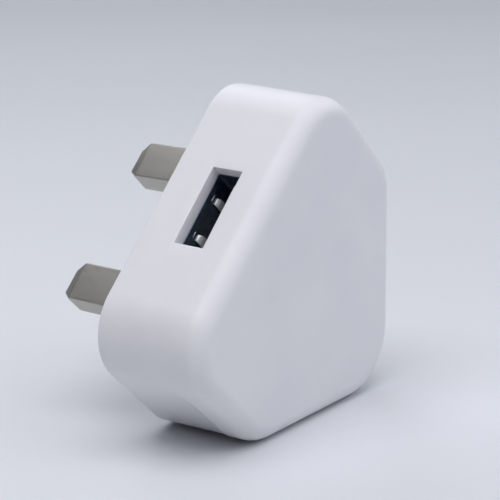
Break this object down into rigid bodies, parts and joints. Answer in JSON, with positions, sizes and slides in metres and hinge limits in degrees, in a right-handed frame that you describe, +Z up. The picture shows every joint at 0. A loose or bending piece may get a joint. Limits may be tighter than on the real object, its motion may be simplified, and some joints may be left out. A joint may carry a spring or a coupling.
{
  "type": "usb wall charger",
  "caption": "White mains plug charger with rectangular pins, rounded house-shaped case, finger grips and one USB-A socket.",
  "frame": {"origin": "middle of the bounding box, on the surface that the charger lies on", "axes": "+Z up, away from the flank that the charger rests on. The pins point along +Y and rise from it by 1.3 degrees, because the case's flank is moulded with that much taper. +X runs along the resting flank from the shoulder to the earth-pin end. The USB side faces up and towards -X."},
  "size_m": [0.0484, 0.0414, 0.0483],
  "materials": {
    "case_plastic": "satin-gloss moulded polycarbonate, white",
    "plate_plastic": "fine-textured moulded polycarbonate, white",
    "pin_metal": "nickel-plated brass, brushed by the tumbling",
    "spring_bronze": "bare phosphor bronze",
    "shell_steel": "nickel-plated steel",
    "tongue_plastic": "moulded polyamide, white",
    "contact_gold": "gold-flashed bronze",
    "board_laminate": "glass-fibre laminate under green solder mask",
    "ferrite": "sintered manganese-zinc ferrite, as heavy and grey as iron",
    "bobbin_plastic": "moulded phenolic, black",
    "copper_wire": "enamelled copper wire",
    "yellow_tape": "polyester tape, yellow",
    "capacitor_sleeve": "aluminium can in a black shrunk sleeve",
    "chip_epoxy": "moulded epoxy, black",
    "blue_coating": "dipped epoxy, blue",
    "resistor_coating": "flameproof coating, green-grey",
    "inductor_sleeve": "shrunk sleeve, black",
    "chip_ceramic": "fired ceramic"
  },
  "bodies": {
    "root": {"case": "case_plastic", "pin_plate": "plate_plastic", "live_pin": "pin_metal", "neutral_pin": "pin_metal", "earth_pin": "pin_metal", "live_contact": "spring_bronze", "neutral_contact": "spring_bronze", "usb_shell": "shell_steel", "usb_insulator": "tongue_plastic", "usb_contact_1": "contact_gold", "usb_contact_2": "contact_gold", "usb_contact_3": "contact_gold", "usb_contact_4": "contact_gold", "main_board": "board_laminate", "transformer_core_a": "ferrite", "transformer_core_b": "ferrite", "choke_core": "ferrite", "transformer_bobbin": "bobbin_plastic", "transformer_winding": "copper_wire", "choke_winding": "copper_wire", "transformer_tape": "yellow_tape", "bulk_capacitor_a": "capacitor_sleeve", "bulk_capacitor_b": "capacitor_sleeve", "output_capacitor": "capacitor_sleeve", "schottky_diode": "chip_epoxy", "bridge_rectifier": "chip_epoxy", "controller_chip": "chip_epoxy", "safety_capacitor": "blue_coating", "fusible_resistor": "resistor_coating", "filter_inductor": "inductor_sleeve", "chip_resistor_a": "chip_ceramic", "chip_resistor_b": "chip_ceramic", "chip_resistor_c": "chip_ceramic", "chip_capacitor_a": "chip_ceramic", "chip_capacitor_b": "chip_ceramic"}
  },
  "joints": []
}
